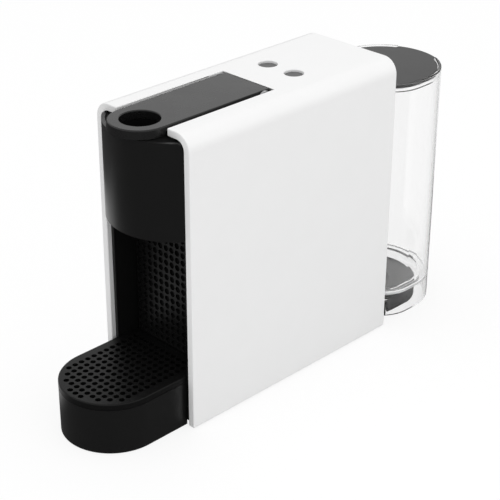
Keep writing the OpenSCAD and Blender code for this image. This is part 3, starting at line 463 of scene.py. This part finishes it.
def headSolid(inset, z0, z1, backY):
    # straight sides closed by one shallow arc in front
    arcY = headLow.y + head["frontRadius"]
    half = headHigh.x - inset
    body = asObject(rodMesh(head["frontRadius"] - inset, (0, arcY, z0), (0, arcY, z1), head["frontSteps"]))
    carve(body, boxMesh(-coverHigh.x, coverHigh.x, arcY, backY, z0, z1), how="UNION")
    return carve(body, boxMesh(-half, half, headLow.y - past, backY, z0, z1), how="INTERSECT")


headShell = headSolid(0, headLow.z, headHigh.z, headHigh.y)
carve(headShell, headSolid(head["wall"], headLow.z - past, headHigh.z + past, headHigh.y + past))
headRoom = coverBlock(cover["wall"] + head["roomGap"], headLow.z - past, headLow.y - past, headHigh.y + past)
carve(headShell, headRoom, how="INTERSECT")
finishPiece(headShell, "headCover", "machine", "black_shell", ["head_cover"], head["edge"], 3)
# The deck's finish paints the shade under the lever and the cover's edge
finishPiece(nodeCopy("head_deck"), "headDeck", "machine", "black_frame", ["head_deck"], head["innerEdge"],
            finish="deck_black_painted_shade")
finishPiece(nodeCopy("head_floor"), "headFloor", "machine", "black_shell", ["head_floor"], head["innerEdge"])
print("head")

# Buttons
for side, nodeName, label in ((-1, "short_button", "shortButton"), (1, "long_button", "longButton")):
    low, high = corners(nodeName)
    top, edge = high.z, button["edge"]
    flangeTop = coverHigh.z - cover["wall"] - button["flangeGap"]
    flangeLow = flangeTop - button["flangeHeight"]
    profile = [(0, top - button["dish"])]
    profile += [(capRadius * t, top - button["dish"] * (1 - t * t)) for t in button["dishShares"]]
    profile += [(capRadius - edge * (1 - math.sin(a)), top - edge * (1 - math.cos(a)))
                for a in [math.pi / 2 * i / button["edgeSteps"] for i in range(button["edgeSteps"] + 1)]]
    profile += [(capRadius, flangeTop), (capRadius + button["flange"], flangeTop),
                (capRadius + button["flange"], flangeLow), (button["stemRadius"], flangeLow),
                (button["stemRadius"], low.z), (0, low.z)]
    cap = asObject(spunMesh(profile, side * buttonX, buttonY, 64))
    finishPiece(cap, label, nodeName, "button_grey", [nodeName], edge=0)
print("buttons")

# Drip tray, grid and capsule bin
tray = {
    "wall": 2.4,
    "floor": 2.4,
    "step": 1.5,       # how far the wide nose runs in behind the cover's front edge
    "shelf": 2.4,      # plate under the bin
    "binGap": 0.3,     # between the tray's wall and the bin
    "overlap": 0.5,    # of shapes that are joined
    "edge": 0.6,
    "archSteps": 40,
}
trayLow, trayHigh = corners("drip_tray")
binLow, binHigh = corners("capsule_bin")
gridLow, gridHigh = corners("drip_grid")
trayHalf = trayHigh.x
trayArcY = trayLow.y + trayHalf
trayTop = trayHigh.z
stepY = coverLow.y + tray["step"]
drawerFloor = binLow.z - tray["shelf"]
recessY = binLow.y
inHalf = trayHalf - tray["wall"]
wallY = recessY - tray["binGap"]
trayPiece = asObject(archMesh(trayHalf, trayArcY, stepY, trayLow.z, trayTop, tray["archSteps"]))
carve(trayPiece, boxMesh(-trayHalf, trayHalf, stepY - tray["overlap"], wallY, drawerFloor, trayTop),
      boxMesh(-trayHalf, trayHalf, recessY - (tray["binGap"] + tray["overlap"]), trayHigh.y, drawerFloor,
              drawerFloor + tray["shelf"]), how="UNION")
trayHollow = asObject(archMesh(inHalf, trayArcY, stepY - tray["wall"], trayLow.z + tray["floor"],
                               trayTop + past, tray["archSteps"]))
carve(trayHollow, boxMesh(-inHalf, inHalf, stepY - tray["wall"] - tray["overlap"], wallY - tray["wall"],
                          drawerFloor + tray["floor"], trayTop + past), how="UNION")
carve(trayPiece, trayHollow)
finishPiece(trayPiece, "dripTray", "drawer", "black_shell", ["drip_tray"], tray["edge"], 3)

grid = {
    "pitch": 5.2,
    "hole": 3.8,
    "holeSides": 20,
    "firstRow": 4.6,      # from the nose's tip
    "sideMargin": 6.0,    # plain border at the sides,
    "endMargin": 8.0,     # in front of the bin,
    "noseMargin": 3.4,    # and round the nose
    "drillDepth": 8.0,
    "plate": 2.4,
    "skirt": 1.6,
    "topEdge": 0.9,
    "holeEdge": 0.35,
}
backY = gridHigh.y
gridShape = archMesh(trayHalf, trayArcY, backY, gridLow.z, gridHigh.z, tray["archSteps"])
bevelWhere(gridShape, lambda p, d: abs(p.z - gridHigh.z) < near, grid["topEdge"], 4)
gridPiece = asObject(gridShape)
carve(gridPiece, archMesh(trayHalf - grid["skirt"], trayArcY, backY - grid["skirt"], gridLow.z - past,
                          gridHigh.z - grid["plate"], tray["archSteps"]))
holes = bmesh.new()
cols = int((trayHalf - grid["sideMargin"]) / grid["pitch"])
rows = int((recessY - trayLow.y - grid["endMargin"]) / grid["pitch"])
for i in range(-cols, cols + 1):
    for j in range(rows + 1):
        x = i * grid["pitch"]
        y = trayLow.y + grid["firstRow"] + j * grid["pitch"]
        if y > trayArcY or math.hypot(x, y - trayArcY) < trayHalf - grid["noseMargin"]:
            made = bmesh.ops.create_cone(holes, cap_ends=True, segments=grid["holeSides"],
                                         radius1=grid["hole"] / 2, radius2=grid["hole"] / 2,
                                         depth=grid["drillDepth"])
            bmesh.ops.translate(holes, vec=(x, y, gridHigh.z - past), verts=made["verts"])
carve(gridPiece, holes)
# The grid takes the darkened drawer finish, which paints the shade of the recess
finishPiece(gridPiece, "dripGrid", "drip_grid", "black_shell", ["drip_grid"],
            grid["holeEdge"], angle=50, finish="matte_black_painted_shade")
print("tray and grid")

# Capsule bin, its front wall set with round pockets
capsuleBin = {"wall": 2.0, "edge": 0.3}
dimples = {
    "pitch": 5.25,
    "radius": 2.15,
    "depth": 1.6,
    "proud": 0.3,         # how far the sheet stands in front of the bin's own face
    "cols": 12,
    "rows": 16,
    "start": 37.6,        # height of the lowest row's foot
    "sides": 16,
    "profile": ((0.95, 0.08), (0.92, 0.9), (0.8, 1.0)),  # parts of the radius and of the depth
    "lap": 0.1,           # how far the sheet's edge reaches into the bin's face
    "hollowMargin": 0.5,  # the hollow behind the sheet ends this far inside it
    "hollowSpare": 0.2,   # and is this much deeper than the pockets
}


def dimpleTile():
    # one square of the wall with a round pocket: a circle whose outer ring is pushed out to the square
    bm = bmesh.new()
    half = dimples["pitch"] / 2
    ring = bmesh.ops.create_circle(bm, segments=dimples["sides"], radius=dimples["radius"],
                                   cap_ends=False)["verts"]
    rim = list({e for v in ring for e in v.link_edges})
    outer = bmesh.ops.extrude_edge_only(bm, edges=rim)["geom"]
    for v in [g for g in outer if isinstance(g, bmesh.types.BMVert)]:
        v.co *= half / max(abs(v.co.x), abs(v.co.y))
    edges = rim
    for share, drop in dimples["profile"]:
        more = bmesh.ops.extrude_edge_only(bm, edges=edges)["geom"]
        verts = [g for g in more if isinstance(g, bmesh.types.BMVert)]
        for v in verts:
            v.co = Vector((v.co.x, v.co.y, 0)).normalized() * dimples["radius"] * share
            v.co.z = -drop * dimples["depth"]
        edges = [g for g in more if isinstance(g, bmesh.types.BMEdge)]
    bmesh.ops.contextual_create(bm, geom=edges)
    bmesh.ops.remove_doubles(bm, verts=bm.verts, dist=0.001)
    bmesh.ops.rotate(bm, cent=(0, 0, 0), matrix=Matrix.Rotation(math.radians(90), 3, "X"), verts=bm.verts)
    return bm


def dimpledFront():
    bm = dimpleTile()
    first = list(bm.verts) + list(bm.edges) + list(bm.faces)
    for i in range(dimples["cols"]):
        for j in range(dimples["rows"]):
            copy = bmesh.ops.duplicate(bm, geom=first)["geom"]
            bmesh.ops.translate(bm, vec=((i - (dimples["cols"] - 1) / 2) * dimples["pitch"], recessY,
                                         dimples["start"] + (j + 0.5) * dimples["pitch"]),
                                verts=[g for g in copy if isinstance(g, bmesh.types.BMVert)])
    bmesh.ops.delete(bm, geom=[g for g in first if isinstance(g, bmesh.types.BMVert)], context="VERTS")
    bmesh.ops.remove_doubles(bm, verts=bm.verts, dist=near)
    side = bmesh.ops.extrude_edge_only(bm, edges=[e for e in bm.edges if e.is_boundary])["geom"]
    bmesh.ops.translate(bm, vec=(0, dimples["proud"] + dimples["lap"], 0),
                        verts=[g for g in side if isinstance(g, bmesh.types.BMVert)])
    bmesh.ops.recalc_face_normals(bm, faces=bm.faces)
    return bm


binWall = capsuleBin["wall"]
binPiece = asObject(boxMesh(-binHigh.x, binHigh.x, recessY, binHigh.y, binLow.z, binHigh.z))
room = boxMesh(-binHigh.x + binWall, binHigh.x - binWall, recessY + binWall, binHigh.y - binWall,
               binLow.z + binWall, binHigh.z + past)
margin = dimples["hollowMargin"]
hollowHalf = dimples["cols"] / 2 * dimples["pitch"] - margin
hollowY = recessY + dimples["depth"] - dimples["proud"] + dimples["hollowSpare"]
hollowTop = dimples["start"] + dimples["rows"] * dimples["pitch"] - margin
carve(binPiece, room,
      boxMesh(-hollowHalf, hollowHalf, recessY - past, hollowY, dimples["start"] + margin, hollowTop))
# The bin and its pocketed front take the darkened drawer finish, which paints the shade of the recess
finishPiece(binPiece, "capsuleBin", "drawer", "black_shell", ["capsule_bin"], capsuleBin["edge"],
            finish="matte_black_painted_shade")
front = asObject(dimpledFront())
front.data.transform(Matrix.Translation((0, -dimples["proud"], 0)))
finishPiece(front, "binFront", "drawer", "black_shell", [], edge=0, finish="matte_black_painted_shade")
print("capsule bin")

# Water tank
tank = {
    "wall": 2.2,
    "floor": 2.2,
    "ledge": 3.0,        # how far the lid's ledge stands in
    "ledgeHeight": 2.6,
    "corner": 26.0,      # upright corners next to the cover
    "fit": 0.4,          # lid in rim
    "lidDrop": 5.0,
    "lidWall": 2.0,
    "tabHalf": 17.0,     # finger tab of the lid over the rear rim
    "valveHole": 5.8,
    "glandNotch": 18.9,  # from the tank's front back to behind the cord gland
    "stepInset": 6.0,    # the floor's deep middle, inside the raised edge over the dock
    "seam": (18.2, 20.2),  # heights of the frosted weld round the raised edge
    "rimEdge": 0.9,
    "lipDepth": 1.4,     # lid's lip inside the ledge
    "lipLap": 0.5,       # how far the lip reaches up into the lid
    "lidEdge": 0.5,
    "dockGap": 0.3,      # floor above the dock
    "valveSetback": 2.0,
    "notchDrop": 0.6,    # the gland's notch ends this far under the dock's top
    "seamGap": 0.02,     # weld ring in its groove
    "archSteps": 48,
    "cornerSteps": 10,
    "cornerLeast": 1.0,
}
tankLow, tankHigh = corners("water_tank")
lidLow, lidHigh = corners("tank_lid")
dockHigh = corners("dock_cover")[1]
tankHalf, dockHalf = tankHigh.x, dockHigh.x
tankArcY = tankHigh.y - tankHalf
tankFront = tankLow.y
floorZ = dockHigh.z + tank["dockGap"]
ledgeTop = lidLow.z + tank["lidDrop"]
wall, ledge, fit = tank["wall"], tank["ledge"], tank["fit"]
seamLow, seamHigh = tank["seam"]
floorTop, pan = floorZ + tank["floor"], tank["stepInset"]
valveY = dockHigh.y - dockHalf - tank["valveSetback"]


def tankBlock(inset, z0, z1):
    # round end, straight sides and two rounded corners next to the cover
    front = tankFront + inset
    bm = archMesh(tankHalf - inset, tankArcY, front, z0, z1, tank["archSteps"])
    bevelWhere(bm, lambda p, d: abs(d.z) > aligned and abs(p.y - front) < near,
               max(tank["corner"] - inset, tank["cornerLeast"]), tank["cornerSteps"])
    return bm


def tabBox(gap, z0, z1):
    half = tank["tabHalf"] + gap
    return boxMesh(-half, half, tankArcY + tankHalf / 2, tankHigh.y + past, z0, z1)


def seamRing(gap):
    # the weld's ring, or with no gap the tool that cuts its groove
    ring = asObject(tankBlock(gap if gap else -past, seamLow + gap, seamHigh - gap))
    return carve(ring, tankBlock(wall, seamLow - past, seamHigh + past))


tankPiece = asObject(tankBlock(0, tankLow.z, tankHigh.z))
skirt = carve(asObject(tankBlock(wall, tankLow.z - past, seamLow)), tankBlock(pan, floorZ, seamLow + past))
dockRoom = boxMesh(-dockHalf - past, dockHalf + past, tankFront - past, tankFront + tank["corner"] + past,
                   tankLow.z - past, floorZ)
carve(skirt, dockRoom, how="UNION")
valveHole = rodMesh(tank["valveHole"], (0, valveY, floorZ - past), (0, valveY, floorTop + past), steps=48)
glandNotch = boxMesh(-tankHalf - past, -dockHalf, tankFront - past, tankFront + tank["glandNotch"], -past,
                     dockHigh.z - tank["notchDrop"])
carve(tankPiece, tankBlock(wall, seamHigh, ledgeTop - tank["ledgeHeight"]),
      tankBlock(pan + tank["floor"], floorTop, seamHigh + past),
      tankBlock(wall + ledge, seamHigh + past, tankHigh.z + past),
      tankBlock(wall, ledgeTop, tankHigh.z + past),
      skirt, valveHole, glandNotch, tabBox(fit, ledgeTop, tankHigh.z + past), seamRing(0))
easePiece(tankPiece, lambda p, d: p.z > tankHigh.z - near, tank["rimEdge"], 3)
finishPiece(tankPiece, "waterTank", "water_tank", "clear_tank", ["water_tank"], edge=0)
finishPiece(seamRing(tank["seamGap"]), "tankSeam", "water_tank", "clear_tank", [], edge=0,
            finish="frosted_seam")
# One outline for the lid and its tab, because two shapes with faces in one plane shade wrongly when joined
lidOutline = carve(asObject(tankBlock(wall + fit, lidLow.z, lidHigh.z + past)),
                   tabBox(0, lidLow.z + past, lidHigh.z + 2 * past), how="UNION")
lidPiece = carve(asObject(tankBlock(0, ledgeTop, lidHigh.z)), lidOutline, how="INTERSECT")
rim = wall + ledge + 2 * fit
lipLow = ledgeTop - tank["lipDepth"]
carve(lidPiece, tankBlock(rim, lipLow, ledgeTop + tank["lipLap"]), how="UNION")
carve(lidPiece, tankBlock(rim + tank["lidWall"], lipLow - past, ledgeTop))
finishPiece(lidPiece, "tankLid", "tank_lid", "smoked_lid", ["tank_lid"], tank["lidEdge"], 3)
print("water tank")

# Plain parts that show: their own solids with eased edges
dressed = {
    "dock_cover": ("dockCover", "machine", "black_frame", 0.5),
    "base_chassis": ("baseChassis", "machine", "black_frame", 0.4),
    "side_frame_left": ("sideFrameLeft", "machine", "black_frame", 0.4),
    "side_frame_right": ("sideFrameRight", "machine", "black_frame", 0.4),
    "rear_wall": ("rearWall", "machine", "black_frame", 0.4),
    "coffee_spout": ("coffeeSpout", "machine", "black_shell", 0.3),
    "feet": ("rubberFeet", "machine", "rubber", 0.4),
    "valve_seat": ("valveSeat", "water_tank", "inner_white", 0.2),
    "cord_gland": ("cordGland", "machine", "rubber", 0.2),
}
for nodeName, (label, body, slotName, easing) in dressed.items():
    finishPiece(nodeCopy(nodeName), label, body, slotName, [nodeName], easing)
print("plain parts")

# Floor, light and camera
studio = {
    "floorSize": 8.0,      # metres
    "sky": 0.86,           # light from all round
    "overheadWatts": 3.4,
    "sideWatts": 2.6,      # from the machine's right
    "shadowShare": 0.16,   # part of the floor's white that is real light, so that the shadow stays
    "floorDark": 0.10,     # what black gloss mirrors in the floor
    "floorPale": 0.95,     # the paler floor left of the machine
    "skyLow": 0.25,        # what black gloss mirrors: dark horizon,
    "skyBand": 1.10,       # a pale band above it,
    "skyFade": 0.58,       # and this share of it higher up
    "bandHeights": (0.0, 0.36),
    "fadeHeights": (0.40, 0.52),
    "floorColour": "#E6E6E6",
    "paleLeft": (-0.38, -0.29),   # metres over which the paler floor comes in,
    "paleRight": (-0.03, -0.09),  # goes out again across,
    "paleFront": (-0.27, -0.15),  # and comes in towards the back
    "lampAim": (0, 0, 0.1),
    "overheadPlace": (0.1, -0.1, 1.3),
    "overheadSize": (1.4, 1.4),
    "sidePlace": (1.3, 0.1, 0.5),
    "sideSize": (1.2, 1.2),
}
scene.view_settings.view_transform = "Standard"


def smoothStep(tree, source, start, end, low=0.0, high=1.0):
    settings = {"interpolation_type": "SMOOTHSTEP", "From Min": start, "From Max": end, "To Min": low,
                "To Max": high}
    return addNode(tree, "ShaderNodeMapRange", settings, {"Value": source}).outputs["Result"]


def times(tree, first, second):
    return addNode(tree, "ShaderNodeMath", {"operation": "MULTIPLY"}, {0: first, 1: second}).outputs[0]


def seenClear(tree, path):
    # straight from the camera or through clear plastic
    return addNode(tree, "ShaderNodeMath", {"operation": "MAXIMUM"},
                   {0: path.outputs["Is Camera Ray"], 1: path.outputs["Is Transmission Ray"]}).outputs[0]


def makeFloor():
    bm = bmesh.new()
    bmesh.ops.create_grid(bm, x_segments=1, y_segments=1, size=studio["floorSize"] / 2)
    floor = asObject(bm, "studioFloor")
    made = bpy.data.materials.new("Pale studio floor")
    made.use_nodes = True
    tree = made.node_tree
    tree.nodes.clear()
    path = addNode(tree, "ShaderNodeLightPath")
    paint = addNode(tree, "ShaderNodeBsdfDiffuse", {"Color": hexLinear(studio["floorColour"])})
    part = addNode(tree, "ShaderNodeBsdfDiffuse", {"Color": (studio["shadowShare"],) * 3 + (1.0,)})
    glow = addNode(tree, "ShaderNodeEmission", {"Strength": 1 - studio["shadowShare"]})
    seen = addNode(tree, "ShaderNodeAddShader", None, {0: glow.outputs[0], 1: part.outputs[0]})
    place = addNode(tree, "ShaderNodeSeparateXYZ", None, {0: objectCoords(tree)})
    left = times(tree, smoothStep(tree, place.outputs["X"], *studio["paleLeft"]),
                 smoothStep(tree, place.outputs["X"], *studio["paleRight"]))
    pale = times(tree, left, smoothStep(tree, place.outputs["Y"], *studio["paleFront"]))
    strength = smoothStep(tree, pale, 0.0, 1.0, studio["floorDark"], studio["floorPale"])
    mirrored = addNode(tree, "ShaderNodeEmission", None, {"Strength": strength})
    first = addNode(tree, "ShaderNodeMixShader", None,
                    {0: path.outputs["Is Glossy Ray"], 1: paint.outputs[0], 2: mirrored.outputs[0]})
    both = addNode(tree, "ShaderNodeMixShader", None,
                   {0: seenClear(tree, path), 1: first.outputs[0], 2: seen.outputs[0]})
    addNode(tree, "ShaderNodeOutputMaterial", None, {"Surface": both.outputs[0]})
    floor.data.materials.append(made)


def makeWorld():
    world = bpy.data.worlds.new("studio")
    scene.world = world
    world.use_nodes = True
    tree = world.node_tree
    tree.nodes.clear()
    path = addNode(tree, "ShaderNodeLightPath")
    coords = addNode(tree, "ShaderNodeTexCoord")
    height = addNode(tree, "ShaderNodeSeparateXYZ", None, {0: coords.outputs["Generated"]}).outputs["Z"]
    band = smoothStep(tree, height, *studio["bandHeights"], studio["skyLow"], studio["skyBand"])
    mirrored = times(tree, band, smoothStep(tree, height, *studio["fadeHeights"], 1.0, studio["skyFade"]))
    one = addNode(tree, "ShaderNodeMix", {"data_type": "FLOAT", "A": studio["sky"]},
                  {"Factor": path.outputs["Is Glossy Ray"], "B": mirrored})
    two = addNode(tree, "ShaderNodeMix", {"data_type": "FLOAT", "B": 1.0},
                  {"Factor": seenClear(tree, path), "A": one.outputs["Result"]})
    back = addNode(tree, "ShaderNodeBackground", {"Color": (1, 1, 1, 1)}, {"Strength": two.outputs["Result"]})
    addNode(tree, "ShaderNodeOutputWorld", None, {"Surface": back.outputs[0]})


def makeLamp(name, place, aim, size, watts):
    light = bpy.data.lights.new(name, "AREA")
    light.shape = "RECTANGLE"
    light.size, light.size_y = size
    light.energy = watts
    lamp = bpy.data.objects.new(name, light)
    lamp.location = place
    lamp.rotation_euler = (Vector(aim) - Vector(place)).to_track_quat("-Z", "Y").to_euler()
    lamp.visible_glossy = False
    scene.collection.objects.link(lamp)


view = {
    "azimuth": 44.993,     # degrees, from the front towards the machine's right
    "elevation": 27.513,
    "roll": 0.210,
    "lens": 104.364,       # mm
    "place": (0.61269, -0.620147, 0.532792),
    "farthest": 20.0,      # metres
}


def makeCamera():
    azimuth, elevation, roll = (math.radians(view[n]) for n in ("azimuth", "elevation", "roll"))
    back = Vector((math.sin(azimuth) * math.cos(elevation), -math.cos(azimuth) * math.cos(elevation),
                   math.sin(elevation)))
    right = Vector((math.cos(azimuth), math.sin(azimuth), 0))
    up = back.cross(right)
    across = right * math.cos(roll) + up * math.sin(roll)
    upward = up * math.cos(roll) - right * math.sin(roll)
    lens = bpy.data.cameras.new("camera")
    lens.lens = view["lens"]
    lens.clip_end = view["farthest"]
    camera = bpy.data.objects.new("camera", lens)
    turn = Matrix((across, upward, back)).transposed().to_4x4()
    camera.matrix_world = Matrix.Translation(view["place"]) @ turn
    scene.collection.objects.link(camera)
    scene.camera = camera


makeFloor()
makeWorld()
makeLamp("overhead soft box", studio["overheadPlace"], studio["lampAim"], studio["overheadSize"],
         studio["overheadWatts"])
makeLamp("right soft box", studio["sidePlace"], studio["lampAim"], studio["sideSize"], studio["sideWatts"])
makeCamera()
print("floor, light and camera")
